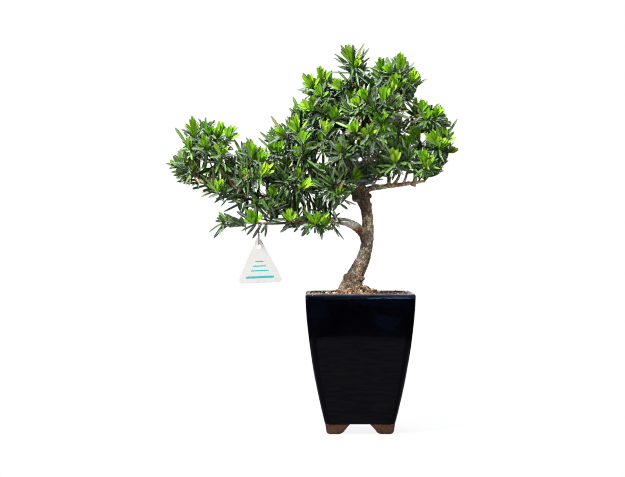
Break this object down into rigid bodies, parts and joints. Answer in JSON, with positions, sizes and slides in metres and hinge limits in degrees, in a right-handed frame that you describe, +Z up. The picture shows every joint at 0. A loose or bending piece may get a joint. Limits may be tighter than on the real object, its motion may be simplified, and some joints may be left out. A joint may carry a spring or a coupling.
{
  "type": "podocarpus bonsai in a tall glazed pot",
  "caption": "Potted podocarpus bonsai with a leaning, curved trunk, an uneven crown that sweeps to one side, and a tall square black-glazed pot.",
  "frame": {"origin": "on the ground, under the middle of the whole plant's bounding box", "axes": "+Z up; the front faces -Y, with the crown's long low side towards -X and the pot towards +X"},
  "size_m": [0.3158, 0.1428, 0.4236],
  "materials": {
    "glaze": "gloss",
    "clay": "matte",
    "soil": "matte",
    "bark": "matte",
    "foliage": "satin",
    "label": "satin",
    "tie": "matte"
  },
  "bodies": {
    "root": {"apex": "foliage", "back_left": "foliage", "back_left_bough": "bark", "back_low": "foliage", "back_right": "foliage", "back_right_bough": "bark", "centre": "foliage", "centre_low": "foliage", "crown_core": "foliage", "foot_back_left": "clay", "foot_back_right": "clay", "foot_front_left": "clay", "foot_front_right": "clay", "front_crown": "foliage", "label": "label", "label_tie": "tie", "leader": "bark", "left_inner": "foliage", "left_long_bough": "bark", "left_low_bough": "bark", "left_lower": "foliage", "left_outer": "foliage", "left_rising_bough": "bark", "left_shoulder": "foliage", "left_shoulder_bough": "bark", "left_tip": "foliage", "left_under": "foliage", "low_far": "foliage", "low_near": "foliage", "low_outer_bough": "bark", "middle_low": "foliage", "pot": "glaze", "right_bough": "bark", "right_low": "foliage", "right_shoulder": "foliage", "right_tip": "foliage", "right_upper_bough": "bark", "soil": "soil", "top_left": "foliage", "top_right": "foliage", "top_right_bough": "bark", "trunk": "bark"}
  },
  "joints": []
}
